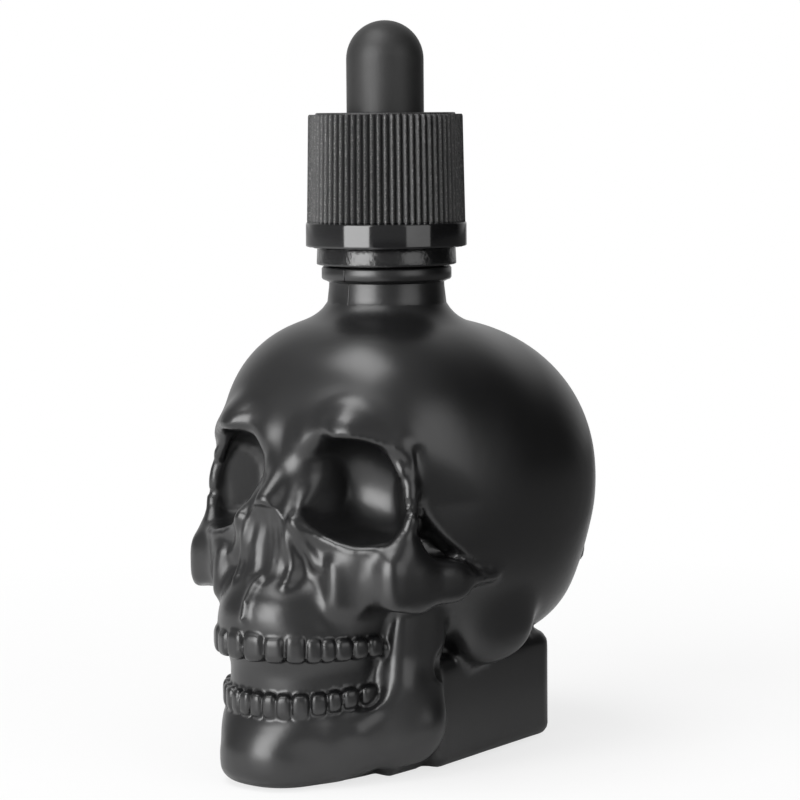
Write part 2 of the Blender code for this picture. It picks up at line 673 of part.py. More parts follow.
def make_outer_cap():
    """The ribbed shell that is pushed down to drive the inner cap."""
    mesh_data = bmesh.new()
    loops = []
    head = outer_cap_top - CROWN_HEIGHT
    for height, radius in ((collar_top - COLLAR_EDGE - OVERRUN, rib_foot_radius), (head, rib_head_radius)):
        loop = []
        for index in range(2 * RIB_COUNT):
            angle = index * math.pi / RIB_COUNT
            reach = radius - RIB_DEPTH * (index % 2)
            loop.append(mesh_data.verts.new((reach * math.cos(angle), reach * math.sin(angle), height)))
        loops.append(mesh_data.faces.new(loop))
    for index in range(2 * RIB_COUNT):
        following = (index + 1) % (2 * RIB_COUNT)
        mesh_data.faces.new((loops[0].verts[index], loops[0].verts[following],
                             loops[1].verts[following], loops[1].verts[index]))
    bmesh.ops.recalc_face_normals(mesh_data, faces=mesh_data.faces)
    cap = new_object("outer_cap", mesh_data)
    collar = (
        (0, outer_cap_foot),
        (collar_radius, outer_cap_foot),
        (collar_radius, collar_top - COLLAR_EDGE),
        (collar_radius - COLLAR_EDGE, collar_top),
        (0, collar_top),
    )
    combine(cap, turned("collar_form", collar, TURN_STEPS), "UNION")
    crown_foot = head - CROWN_HEIGHT / 2
    crown = (
        (0, crown_foot),
        (rib_head_radius - RIB_DEPTH, crown_foot),
        (rib_head_radius - RIB_DEPTH, head + CROWN_HEIGHT / 4),
        (crown_radius, outer_cap_top),
        (0, outer_cap_top),
    )
    combine(cap, turned("crown_form", crown, TURN_STEPS), "UNION")
    hollow = (
        (0, outer_cap_foot - OVERRUN),
        (snap_bead_radius, outer_cap_foot - OVERRUN),
        (snap_bead_radius, outer_cap_foot + SNAP_BEAD_HEIGHT),
        (collar_bore, outer_cap_foot + SNAP_BEAD_HEIGHT),
        (collar_bore, flange_pocket_top),
        (outer_cap_bore, flange_pocket_top + collar_bore - outer_cap_bore),
        (outer_cap_bore, outer_cap_ceiling),
        (BULB_RADIUS + SIDE_GAP, outer_cap_ceiling),
        (BULB_RADIUS + SIDE_GAP, outer_cap_top + OVERRUN),
        (0, outer_cap_top + OVERRUN),
    )
    combine(cap, turned("hollow_form", hollow, TURN_STEPS), "DIFFERENCE")
    combine(cap, lugs("outer_lug_form", outer_cap_ceiling - LUG_HEIGHT, outer_cap_ceiling + OUTER_CAP_TOP / 2, 0),
            "UNION")
    painted(cap, "cap_plastic", (0.018, 0.018, 0.019), 0.45)
    smoothed(cap)


def make_bulb():
    """The rubber bulb, clamped by its flange between the lip and the inner cap."""
    shoulder = inner_cap_top + REST_GAP
    dome = bulb_top - BULB_RADIUS
    outline = [
        (PIPETTE_RADIUS + SIDE_GAP, flange_foot),
        (bulb_flange_radius, flange_foot),
        (bulb_flange_radius, flange_top),
        (bulb_waist_radius, flange_top),
        (bulb_waist_radius, shoulder),
        (BULB_RADIUS - SIDE_GAP, shoulder + BULB_FOOT_SLOPE),
        (BULB_RADIUS, shoulder + BULB_FOOT_SLOPE + BULB_FOOT_SLOPE),
    ]
    outline += arc(0, dome, BULB_RADIUS, 0, 90, DOME_STEPS)
    outline += arc(0, dome, BULB_RADIUS - BULB_WALL, 90, 0, DOME_INNER_STEPS)
    outline += [
        (BULB_RADIUS - BULB_WALL, pipette_top + PIPETTE_WALL),
        (PIPETTE_RADIUS + SIDE_GAP, pipette_top),
    ]
    bulb = turned("rubber_bulb", outline, SMALL_TURN_STEPS)
    painted(bulb, "bulb_rubber", (0.014, 0.014, 0.014), 0.62)
    smoothed(bulb)


def make_pipette():
    """The glass tube, drawn to a fine tip near the floor of the bottle."""
    inner = PIPETTE_RADIUS - PIPETTE_WALL
    outline = (
        (PIPETTE_TIP_BORE, pipette_foot),
        (PIPETTE_TIP_RADIUS - PIPETTE_EDGE, pipette_foot),
        (PIPETTE_TIP_RADIUS, pipette_foot + PIPETTE_EDGE),
        (PIPETTE_TIP_RADIUS + PIPETTE_EDGE, pipette_foot + PIPETTE_TAPER / 4),
        (PIPETTE_RADIUS - PIPETTE_EDGE, pipette_foot + PIPETTE_TAPER - PIPETTE_WALL),
        (PIPETTE_RADIUS, pipette_foot + PIPETTE_TAPER),
        (PIPETTE_RADIUS, pipette_top - PIPETTE_EDGE),
        (PIPETTE_RADIUS - PIPETTE_EDGE, pipette_top),
        (inner, pipette_top),
        (inner, pipette_foot + PIPETTE_TAPER),
        (inner - PIPETTE_EDGE, pipette_foot + PIPETTE_TAPER - PIPETTE_WALL),
        (PIPETTE_TIP_BORE, pipette_foot + PIPETTE_TAPER / 4),
    )
    pipette = turned("pipette", outline, SMALL_TURN_STEPS)
    painted(pipette, "clear_glass", (0.92, 0.94, 0.93), 0.05, transmission=1.0)
    smoothed(pipette)


def main():
    for old in list(bpy.data.objects):
        bpy.data.objects.remove(old, do_unlink=True)
    make_bottle()
    make_tamper_ring()
    make_inner_cap()
    make_outer_cap()
    make_bulb()
    make_pipette()
    bpy.context.view_layer.update()


main()
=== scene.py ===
import math

import bmesh
import bpy
import numpy as np
from mathutils import Matrix, Vector


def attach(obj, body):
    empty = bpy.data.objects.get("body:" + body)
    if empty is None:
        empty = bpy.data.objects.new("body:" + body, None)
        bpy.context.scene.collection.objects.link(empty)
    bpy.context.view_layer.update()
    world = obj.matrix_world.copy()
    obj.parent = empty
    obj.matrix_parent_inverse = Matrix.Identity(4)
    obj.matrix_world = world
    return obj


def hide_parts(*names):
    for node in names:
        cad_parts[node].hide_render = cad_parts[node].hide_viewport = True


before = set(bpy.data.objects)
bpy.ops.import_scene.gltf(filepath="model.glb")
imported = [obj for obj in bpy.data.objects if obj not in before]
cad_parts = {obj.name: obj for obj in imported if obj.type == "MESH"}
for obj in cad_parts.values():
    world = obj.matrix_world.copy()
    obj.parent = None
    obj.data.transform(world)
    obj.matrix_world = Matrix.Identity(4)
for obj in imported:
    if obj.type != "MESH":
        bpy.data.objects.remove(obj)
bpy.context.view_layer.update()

# The glass skull: one piece of blown glass, sprayed satin black, that stands on
# a block behind its jaw.  Its outer skin is shaped here as clay, by rounded
# lumps and bars in millimetres, blended as a sculptor would press them together.
MM = 0.001
NECK_ROOT = 63.0
NECK_RADIUS = 8.6
NECK_FLARE = 3.6
NECK_TAPER = 0.15
BASE_ROUNDING = 2.4
GLASS = 2.8
THROAT_TOP = 60.0
BORE = 5.75


def lump(p, centre, radii, squareness=2.0, turn=0.0, tilt=0.0):
    """Distance to a rounded lump, turned about Z and tilted about X in degrees."""
    q = p - np.array(centre)
    c, s = math.cos(math.radians(turn)), math.sin(math.radians(turn))
    x, y = q[:, 0] * c + q[:, 1] * s, q[:, 1] * c - q[:, 0] * s
    c, s = math.cos(math.radians(tilt)), math.sin(math.radians(tilt))
    q = np.stack([x, y * c + q[:, 2] * s, q[:, 2] * c - y * s], 1)
    size = np.maximum((np.abs(q / np.array(radii)) ** squareness).sum(1) ** (1 / squareness), 1e-6)
    length = np.sqrt((q ** 2).sum(1))
    return length - length / size


def bar(p, start, end, first, last):
    """Distance to a round bar between two points, with a radius at each."""
    start = np.array(start, float)
    along = np.array(end, float) - start
    t = np.clip((p - start) @ along / (along @ along), 0, 1)
    return np.sqrt(((p - start - t[:, None] * along) ** 2).sum(1)) - (first + (last - first) * t)


def block(p, centre, half, rounding):
    """Distance to a box with rounded edges."""
    q = np.abs(p - np.array(centre)) - np.array(half) + rounding
    return np.sqrt((np.maximum(q, 0) ** 2).sum(1)) + np.minimum(q.max(1), 0) - rounding


def add(a, b, blend):
    t = np.clip(0.5 + 0.5 * (b - a) / blend, 0, 1)
    return b * (1 - t) + a * t - blend * t * (1 - t)


def cut(a, b, blend):
    return -add(-a, b, blend)


def ease(v, low, high):
    t = np.clip((v - low) / (high - low), 0, 1)
    return t * t * (3 - 2 * t)


def line(p, points, width, height):
    """Height of a raised or sunk line drawn on the clay as seen from the front."""
    q = p[:, [0, 2]]
    nearest = np.full(len(q), 1e3)
    for start, end in zip(points[:-1], points[1:]):
        start = np.array(start, float)
        along = np.array(end, float) - start
        t = np.clip((q - start) @ along / (along @ along), 0, 1)
        nearest = np.minimum(nearest, np.sqrt(((q - start - t[:, None] * along) ** 2).sum(1)))
    return height * np.exp(-(nearest / width) ** 2)


def tooth_row(p, centre, half_width, half_depth, teeth, edge, direction):
    """One row of teeth, each set square to the dental arch."""
    row = np.full(len(p), 1e3)
    for angle, width, height in teeth:
        c, s = math.cos(math.radians(angle)), math.sin(math.radians(angle))
        tangent = math.hypot(half_width * c, half_depth * s)
        tx, ty = half_width * c / tangent, half_depth * s / tangent
        x, y = p[:, 0] - half_width * s, p[:, 1] - centre + half_depth * c
        up = p[:, 2] - edge - direction * height / 2
        tooth = lump(np.stack([x * tx + y * ty, x * ty - y * tx, up], 1), (0, 0, 0),
                     (width * 0.98, 1.15, height / 2 + 0.15), 3.6)
        row = add(row, tooth, 0.35)
    return row


UPPER_TEETH = ((7.4, 1.6, 3.7), (21.2, 1.4, 3.3), (34.0, 1.4, 3.6), (44.6, 1.1, 3.1),
               (52.6, 1.0, 2.9), (61.5, 1.25, 2.8), (71.5, 1.15, 2.6), (81.5, 1.2, 2.6))
LOWER_TEETH = ((4.8, 1.0, 3.1), (14.4, 1.0, 3.1), (24.0, 1.05, 3.1), (34.5, 1.2, 3.1),
               (45.5, 1.1, 2.8), (55.0, 1.0, 2.6), (65.0, 1.15, 2.5), (77.0, 1.25, 2.4))


def clay(points, detail=True):
    """Distance in millimetres from the skin of the skull, its base not yet cut flat."""
    p = np.array(points, float)
    p[:, 0] = np.abs(p[:, 0])
    x, y, z = p.T
    # the vault, the back of the head and the bone behind the ear
    d = lump(p, (0, 6.9, 39.1), (25.1, 25.2, 23.5), 2.15)
    d = add(d, lump(p, (0, -3.8, 41.4), (21.6, 18.5, 22.4), 2.5), 5)
    d = add(d, lump(p, (0, 8.6, 26.6), (19.4, 19.7, 12.2), 2.4), 5)
    d = add(d, lump(p, (15.6, 2.4, 22.4), (4.9, 7.2, 8.2), 2.5, -14, 16), 1.6)
    # the flat pad on the back, and the brow
    d = add(d, block(p, (0, 24, 30.9), (11.6, 8.8, 6.3), 1.0), 0.5)
    d = add(d, bar(p, (4.6, -19.0, 46.4), (9.6, -19.2, 47.8), 3.5, 3.2), 3.0)
    d = add(d, bar(p, (9.6, -19.2, 47.8), (15.2, -16.6, 46.4), 3.2, 1.8), 3.5)
    # the deep trough of the temple, behind the outer wall of the eye socket
    behind = y + 14.9 - 0.0019 * np.clip(46.3 - z, 0, 18) ** 3 - 0.15 * (x - 20)
    deep = 13 + 0.9 * np.maximum(z - 41, 0) + 0.2 * np.maximum(33 - z, 0) - x
    floor = 29.2 + 4.0 * np.exp(-np.clip(y + 17.2, 0, 30) / 2.6) - z
    wall = (-1.66 - 0.8 * x - y) * 0.75
    d = cut(d, np.maximum(23.9 + 0.35 * np.maximum(z - 39, 0) - 0.75 * x + 0.66 * y, 31.5 - z), 3)
    d = cut(d, np.maximum.reduce([wall, behind * 0.8, deep * 0.75, floor, (z - 46.8) * 0.6]), 0.7)
    d = add(d, bar(p, (15.6, -15.4, 46.6), (17.6, -16.4, 41.0), 1.5, 1.2), 2)
    d = add(d, bar(p, (17.6, -16.6, 41.0), (17.3, -17.4, 34.0), 1.2, 1.8), 1)
    # the middle of the face and the upper jaw
    d = add(d, lump(p, (0, -11.5, 34), (13.8, 10.6, 12), 2.4), 3)
    d = add(d, lump(p, (0, -14.6, 22.6), (12.2, 16.1, 9.0), 2.3), 4)
    d = add(d, lump(p, (8.6, -18.9, 28.2), (5.4, 5.4, 5.8), 2.3), 3)
    # the cheekbone: front plate, side plate and the thin strap behind it
    d = add(d, lump(p, (13.2, -17.2, 29.4), (5.0, 4.7, 4.4), 2.6, 14), 3)
    d = add(d, lump(p, (9.0, -17.0, 30.4), (5.4, 5.6, 4.6), 2.5), 2.5)
    d = add(d, lump(p, (16.4, -17.6, 28.6), (3.9, 4.3, 4.9), 3.2, -12), 1.6)
    d = add(d, lump(p, (18.2, -13.9, 28.2), (2.7, 6.6, 3.1), 3.4, -21, -2), 2)
    d = add(d, bar(p, (20.4, -9.4, 28.0), (22.2, -3.2, 27.9), 1.2, 0.5), 1.6)
    # the inner side and the lower rim of the eye socket
    d = add(d, bar(p, (4.6, -18.8, 44.0), (4.9, -22.8, 37.2), 2.0, 2.1), 2.5)
    d = add(d, bar(p, (5.2, -22.4, 35.8), (11.5, -20.4, 32.2), 2.1, 2.0), 2.2)
    d = add(d, bar(p, (11.5, -20.2, 32.2), (17.0, -17.2, 33.0), 2.0, 1.9), 2.2)
    # the wall inside the open mouth and the hollow under the cheekbone
    d = add(d, lump(p, (0, -13.0, 13), (11.2, 15.6, 22), 2.3), 2)
    d = cut(d, lump(p, (16.0, -19.5, 21.0), (3.9, 6.6, 4.4), 2.2), 1)
    # the lower jaw: chin, gum, side, and the branch that rises behind the teeth
    jaw = lump(p, (0, -19.4, 3.6), (9.0, 12.3, 7.6), 2.4)
    jaw = add(jaw, lump(p, (0, -14.5, 8.2), (11.4, 14.9, 5.0), 2.5), 2.5)
    jaw = add(jaw, bar(p, (7.2, -20.5, 4.4), (13.4, -10.5, 7.4), 4.4, 4.0), 3)
    jaw = add(jaw, bar(p, (10.3, -19.6, 7.9), (12.9, -13.5, 12.5), 2.4, 2.6), 3)
    jaw = add(jaw, lump(p, (11.2, -10.4, 17.0), (5.2, 5.0, 15.0), 3.6, -17, -4), 3.5)
    jaw = cut(jaw, bar(p, (12.4, -20.0, 14.0), (12.6, -18.6, 25.0), 3.4, 4.0), 0.5)
    d = add(d, jaw, 1)
    d = cut(d, bar(p, (21.5, -5.6, 26.0), (17.6, -7.6, 15.5), 0.4, 2.6), 0.4)
    # the block under the head and the plinth that joins it to the jaw
    narrowed = np.stack([x * (1 + 0.006 * (y + 4)), y, z], 1)
    d = add(d, block(narrowed, (0, 7.4, 7.5), (14.8, 14.9, 8.5), 2.2), 0.5)
    d = add(d, block(p, (0, -6, 2.0), (12.6, 9.0, 3.0), 1.2), 0.6)
    # the eye socket, flat against the nose, with its thin outer rim
    c, s = math.cos(math.radians(22)), math.sin(math.radians(22))
    rolled = np.stack([(x - 12.1) * c - (z - 40.7) * s, y + 21.4, (z - 40.7) * c + (x - 12.1) * s], 1)
    socket = -add(-lump(rolled, (0, 0, 0), (7.9, 8.4, 6.9), 2.45, 12), x - 7.3 - 0.10 * y, 0.3)
    socket = -add(-socket, (-2.86 - 0.8 * x - y) * 0.75, 0.4)
    d = cut(d, socket, 0.8 + 0.5 * ease(z, 43.0, 46.0) + 3.2 * ease(-x, -10.5, -6.0) * ease(z, 38.0, 43.0))
    for start, end, first, last in (((14.2, -17.9, 47.7), (16.9, -17.2, 43.8), 0.8, 0.6),
                                    ((16.9, -17.2, 43.8), (18.1, -17.0, 39.8), 0.6, 0.6),
                                    ((18.1, -17.0, 39.8), (18.4, -17.0, 36.8), 0.6, 0.7),
                                    ((18.4, -17.0, 36.8), (17.4, -18.0, 34.3), 0.7, 0.9)):
        d = add(d, bar(p, start, end, first, last), 0.9)
    # the bridge of the nose, the opening below it and its raised edge
    d = add(d, bar(p, (0, -18.2, 45.4), (0, -25.0, 39.7), 2.5, 1.8), 2.6)
    d = add(d, lump(p, (0, -18.3, 31.0), (6.6, 8.8, 9.6), 2.4), 2.5)
    front = ease(-y, 14, 18)
    if detail:
        edge = ((0.4, 39.4), (2.1, 37.5), (4.0, 34.4), (4.9, 31.0), (4.8, 28.5))
        d = d - front * line(p, edge, 0.8, 0.75)
    d = cut(d, lump(p, (0, -29.4, 33.6), (4.3, 3.4, 5.7), 3.2, 0, -9), 0.3)
    if not detail:
        return d
    # folds in the nose, and the lines of the cheek and the upper jaw
    d = d - front * line(p, ((1.0, 37.0), (1.7, 33.0), (1.4, 29.8)), 0.6, 0.35)
    d = d - front * line(p, ((4.9, 36.9), (8.5, 34.4), (12.5, 33.9), (15.0, 33.6)), 0.9, 0.5)
    d = d - front * line(p, ((4.9, 36.9), (6.0, 34.0), (7.6, 31.0)), 1.0, 0.7)
    d = d - front * line(p, ((10.4, 30.8), (11.4, 25.5)), 1.4, 0.7)
    d = d + front * line(p, ((7.4, 29.0), (7.8, 25.0)), 2.6, 0.4)
    d = d - front * line(p, ((0, 28.6), (0, 23.5)), 0.6, 0.7)
    # the teeth, the lower row curving down towards the back
    d = add(d, tooth_row(p, -15.6, 12.2, 14.7, UPPER_TEETH, 17.9, 1), 0.5)
    lowered = np.stack([x, y, z - 0.012 * np.maximum(x - 5, 0) ** 2], 1)
    return add(d, tooth_row(lowered, -15.0, 11.4, 14.0, LOWER_TEETH, 13.1, -1), 0.5)


def skin(points):
    """The clay with the root of the neck on it and its base cut flat, the heel rounded."""
    z = points[:, 2]
    d = clay(points)
    narrowing = NECK_TAPER * np.maximum(z - NECK_ROOT + 0.7, 0)
    neck = np.maximum(np.hypot(points[:, 0], points[:, 1]) - NECK_RADIUS + narrowing, z - NECK_ROOT - 3)
    d = add(d, neck, NECK_FLARE)
    return cut(d, z, BASE_ROUNDING)


def cavity(points):
    """The inside face of the glass, with a throat down to the well in the block."""
    d = clay(points, detail=False)
    d = add(d, bar(points, (0, -2.5, 8.2), (0, 0.6, 28.4), 10.7, 12.0), 3.8) + GLASS
    return np.maximum(cut(d, points[:, 2] - 4.2, 3.2), points[:, 2] - THROAT_TOP)


def drawn(shape, subdivisions, outside):
    """A ball drawn onto a shape along rays: level ones low down, fanned ones above."""
    middle, beyond, stride = 38.0, 46.0, 0.6
    made = bmesh.new()
    bmesh.ops.create_icosphere(made, subdivisions=subdivisions, radius=1)
    way = np.array([v.co for v in made.verts])
    low = way[:, 2] < 0
    level = np.where(low, middle + (middle - 0.1) * np.clip(way[:, 2] * 1.25, -1, 0), middle)
    flat = np.stack([way[:, 0], way[:, 1], np.where(low, 0, way[:, 2])], 1)
    inner = np.clip((1 + way[:, 2]) / 0.2, 0, 1)
    flat /= np.maximum(np.sqrt((flat ** 2).sum(1)), 1e-6)[:, None]
    start = np.stack([0 * level, 0 * level, level], 1)
    reach = np.full(len(way), beyond if outside else 0.0)
    for _ in range(60):
        d = shape(start + reach[:, None] * flat)
        reach = reach - np.maximum(d, 0) * stride if outside else reach + np.maximum(-d, 0) * stride
    where = start + (reach * np.where(low, inner, 1))[:, None] * flat
    for vert, place in zip(made.verts, where):
        vert.co = place
    return made


def settled(made, shape, rounds):
    """Moves the points of a mesh straight onto a shape."""
    where = np.array([v.co for v in made.verts])
    for _ in range(rounds):
        d = shape(where)
        slope = np.stack([shape(where + step) - shape(where - step) for step in np.eye(3) * 0.05], 1) / 0.1
        size = np.maximum((slope ** 2).sum(1), 0.3)
        where = where - slope * np.clip(d / size, -0.6, 0.6)[:, None]
    where[:, 2] = np.maximum(where[:, 2], 0)
    for vert, place in zip(made.verts, where):
        vert.co = place


def as_object(name, made, scale=MM):
    """Turns a bmesh in millimetres into an object in metres."""
    bmesh.ops.scale(made, vec=(scale,) * 3, verts=made.verts)
    mesh = bpy.data.meshes.new(name)
    made.to_mesh(mesh)
    made.free()
    piece = bpy.data.objects.new(name, mesh)
    bpy.context.scene.collection.objects.link(piece)
    return piece


def finished_mesh(piece, keep=True):
    """A copy of an object's mesh with its modifiers applied."""
    graph = bpy.context.evaluated_depsgraph_get()
    mesh = bpy.data.meshes.new_from_object(piece.evaluated_get(graph))
    if not keep:
        bpy.data.objects.remove(piece)
    return mesh


def remeshed(made, size):
    """Even quads over a closed shape, in millimetres."""
    rough = as_object("rough", made, 1)
    step = rough.modifiers.new("even", "REMESH")
    step.mode = "VOXEL"
    step.voxel_size = size
    mesh = finished_mesh(rough, keep=False)
    even = bmesh.new()
    even.from_mesh(mesh)
    bpy.data.meshes.remove(mesh)
    return even


def turned(outline, steps):
    """A solid of revolution about Z from points of radius and height."""
    made = bmesh.new()
    corners = [made.verts.new((r, 0, h)) for r, h in outline]
    pairs = list(zip(corners, corners[1:] + corners[:1]))
    edges = [made.edges.new(pair) for pair in pairs if max(pair[0].co.x, pair[1].co.x) > 1e-4]
    bmesh.ops.spin(made, geom=corners + edges, cent=(0, 0, 0), axis=(0, 0, 1), angle=math.tau,
                   steps=steps, use_merge=True)
    bmesh.ops.remove_doubles(made, verts=[v for v in made.verts if v.co.xy.length < 1e-3], dist=1e-3)
    bmesh.ops.recalc_face_normals(made, faces=made.faces)
    return made


def arc(centre, height, radius, start, end, count):
    """Points of an arc in the plane of radius and height, angles in degrees."""
    angles = [math.radians(start + (end - start) * i / count) for i in range(count + 1)]
    return [(centre + radius * math.cos(a), height + radius * math.sin(a)) for a in angles]


def extruded(made, face):
    """Pulls one face out of a mesh and returns the new end face."""
    new = bmesh.ops.extrude_face_region(made, geom=[face])["geom"]
    if face.is_valid:
        bmesh.ops.delete(made, geom=[face], context="FACES_ONLY")
    return next(g for g in new if isinstance(g, bmesh.types.BMFace))


def thread_ridge(root, crest, foot, turns, pitch, steps=48):
    """A screw ridge: one section carried up a helix, low at both ends."""
    made = bmesh.new()
    side = math.copysign(0.5, crest - root)
    levels = ((root - side, -0.75), (root, -0.75), (crest - side * 0.2, -0.42), (crest, -0.25),
              (crest, 0.25), (crest - side * 0.2, 0.42), (root, 0.75), (root - side, 0.75))
    ring = made.faces.new([made.verts.new((r, 0, foot + h)) for r, h in levels])
    base = root - side
    count = round(turns * steps)
    for i in range(count):
        ring = extruded(made, ring)
        bmesh.ops.rotate(made, verts=ring.verts, cent=(0, 0, 0), matrix=Matrix.Rotation(math.tau / steps, 3, "Z"))
        bmesh.ops.translate(made, verts=ring.verts, vec=(0, 0, pitch / steps))
    first = math.tau * turns
    for vert in made.verts:
        turn = (vert.co.z - foot) / pitch * math.tau
        fade = min(1, 0.2 + 2.4 * min(max(turn, 0), max(first - turn, 0)))
        reach = vert.co.xy.length
        vert.co.xy *= (base + (reach - base) * fade) / reach
    bmesh.ops.holes_fill(made, edges=[e for e in made.edges if e.is_boundary], sides=0)
    bmesh.ops.recalc_face_normals(made, faces=made.faces)
    return made


def combine(piece, made, operation):
    """Joins or cuts another closed shape, in millimetres, into a piece."""
    tool = as_object("tool", made)
    step = piece.modifiers.new("join", "BOOLEAN")
    step.operation = operation
    step.solver = "EXACT"
    step.object = tool
    old = piece.data
    piece.data = finished_mesh(piece)
    piece.modifiers.clear()
    bpy.data.meshes.remove(old)
    bpy.data.objects.remove(tool)
    # points that the join left on top of one another
    joined = bmesh.new()
    joined.from_mesh(piece.data)
    bmesh.ops.remove_doubles(joined, verts=joined.verts, dist=1e-6)
    joined.to_mesh(piece.data)
    joined.free()


def rounded(piece, angle=35):
    """Smooth shading that keeps edges over an angle crisp."""
    piece.data.shade_smooth()
    piece.data.set_sharp_from_angle(angle=math.radians(angle))


GRID = 0.76
body = remeshed(drawn(skin, 6, True), GRID)
settled(body, skin, 4)
# the face gets a mesh twice as fine, and the teeth one twice as fine again
middles = {f: f.calc_center_median() for f in body.faces}
face_zone = [f for f, m in middles.items() if m.y < -8 and m.z < 51]
edges = list({e for f in face_zone for e in f.edges})
bmesh.ops.subdivide_edges(body, edges=edges, cuts=1, use_grid_fill=True)
settled(body, skin, 3)
middles = {f: f.calc_center_median() for f in body.faces}
tooth_zone = [f for f, m in middles.items() if m.y < -14 and (8.8 < m.z < 14 or 17 < m.z < 22.5)]
edges = list({e for f in tooth_zone for e in f.edges})
bmesh.ops.subdivide_edges(body, edges=edges, cuts=1, use_grid_fill=True)
settled(body, skin, 3)
melted = [v for v in body.verts if v.co.z > 2.6]
for _ in range(2):
    bmesh.ops.smooth_vert(body, verts=melted, factor=0.5, use_axis_x=True, use_axis_y=True, use_axis_z=True)
bmesh.ops.recalc_face_normals(body, faces=body.faces)
skull = as_object("skull_glass", body)

finish_profile = [(0, NECK_ROOT - 2), (NECK_RADIUS, NECK_ROOT - 2), (NECK_RADIUS, 64.2), (8.52, 65.0), (8.38, 66.2),
                  (8.24, 67.4), (8.22, 68.0), (8.7, 68.25), (9.12, 68.4), (9.27, 68.62), (9.27, 69.95),
                  (9.1, 70.18), (8.3, 70.2),
                  (8.2, 70.3), (8.2, 71.6), (8.3, 71.7), (8.8, 71.75), (8.9, 71.9), (8.9, 72.45), (8.3, 72.75),
                  (8.2, 72.9)]
finish_profile += arc(7.4, 84.1, 0.8, 0, 90, 5) + [(0, 84.9)]
combine(skull, turned(finish_profile, 128), "UNION")
combine(skull, thread_ridge(8.2, 9.0, 79.25, 1.25, 3.0), "UNION")
for side, height, radius, length, lean in ((-1, 66.2, 8.24, 3.6, 0.12), (1, 66.2, 8.24, 3.6, 0.12),
                                           (-1, 69.3, 9.1, 1.5, 0), (1, 69.3, 9.1, 1.5, 0)):
    seam = bmesh.new()
    bmesh.ops.create_cube(seam, size=1, matrix=Matrix.Diagonal((0.24, 0.5, length, 1)))
    bmesh.ops.bevel(seam, geom=list(seam.edges), offset=0.07, segments=2, profile=0.5, affect="EDGES", material=-1)
    for vert in seam.verts:
        vert.co.y += side * (radius - lean * vert.co.z)
        vert.co.z += height
    combine(skull, seam, "UNION")
inside = remeshed(drawn(cavity, 5, False), 1.6)
settled(inside, cavity, 3)
bmesh.ops.recalc_face_normals(inside, faces=inside.faces)
combine(skull, inside, "DIFFERENCE")
bore_profile = [(0, 40.0), (BORE, 40.0), (BORE, 84.3), (6.1, 84.75), (6.6, 85.4), (0, 85.4)]
combine(skull, turned(bore_profile, 96), "DIFFERENCE")
rounded(skull, 50)


class Value:
    """A socket in a material, so that sums of sockets read as plain sums."""

    def __init__(self, nodes, socket):
        self.nodes, self.socket = nodes, socket

    def maths(self, operation, first, second):
        return self.nodes.node("ShaderNodeMath", {"operation": operation}, {0: first, 1: second})

    def __add__(self, other):
        return self.maths("ADD", self, other)

    def __sub__(self, other):
        return self.maths("SUBTRACT", self, other)

    def __rsub__(self, other):
        return self.maths("SUBTRACT", other, self)

    def __mul__(self, other):
        return self.maths("MULTIPLY", self, other)

    __radd__ = __add__
    __rmul__ = __mul__


class Nodes:
    """A tree of nodes, with the node at its end that takes the results."""

    def __init__(self, tree, end):
        self.tree, self.end = tree, end

    def give(self, values, node=None):
        """Sets or links the sockets of a node, the end's if none is named."""
        node = node or self.end
        for key, value in values.items():
            if isinstance(value, Value):
                self.tree.links.new(value.socket, node.inputs[key])
            else:
                node.inputs[key].default_value = value

    def node(self, kind, settings=None, values=None, output=0):
        """Adds a node, with its settings first and then its sockets."""
        made = self.tree.nodes.new(kind)
        for key, value in (settings or {}).items():
            setattr(made, key, value)
        self.give(values or {}, made)
        return Value(self, made.outputs[output])


class Finish(Nodes):
    """One material: its shader, and the nodes that feed it."""

    def __init__(self, name, colour, roughness, **sockets):
        self.material = bpy.data.materials.new(name)
        self.material.use_nodes = True
        tree = self.material.node_tree
        super().__init__(tree, tree.nodes["Principled BSDF"])
        self.give({"Base Color": (*colour, 1), "Roughness": roughness})
        self.give({key.replace("_", " "): value for key, value in sockets.items()})

    def place(self):
        return self.node("ShaderNodeTexCoord", output=3)

    def noise(self, scale, detail=2.0, roughness=0.5):
        return self.node("ShaderNodeTexNoise", None, {"Vector": self.place(), "Scale": scale,
                                                      "Detail": detail, "Roughness": roughness})

    def bump(self, height, strength, distance):
        return self.node("ShaderNodeBump", None, {"Height": height, "Strength": strength, "Distance": distance})

    def tinted(self, dark, light, amount):
        """A colour between two, by a value."""
        return self.node("ShaderNodeMix", {"data_type": "RGBA"}, {0: amount, 6: (*dark, 1), 7: (*light, 1)}, 2)


# satin black spray coat: a little uneven in gloss, with a faint orange peel
black = Finish("satin_black_glass", (0.005, 0.005, 0.0055), 0.26)
cloud = black.noise(90, 3)
black.give({"Base Color": black.tinted((0.004, 0.004, 0.0044), (0.007, 0.007, 0.0074), cloud),
            "Roughness": 0.28 + 0.08 * cloud, "Specular IOR Level": 0.8})
peel = black.noise(1400, 2, 0.4)
black.give({"Normal": black.bump(peel, 0.15, 0.00002)})
skull.data.materials.append(black.material)
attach(skull, "bottle")
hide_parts("skull_bottle")

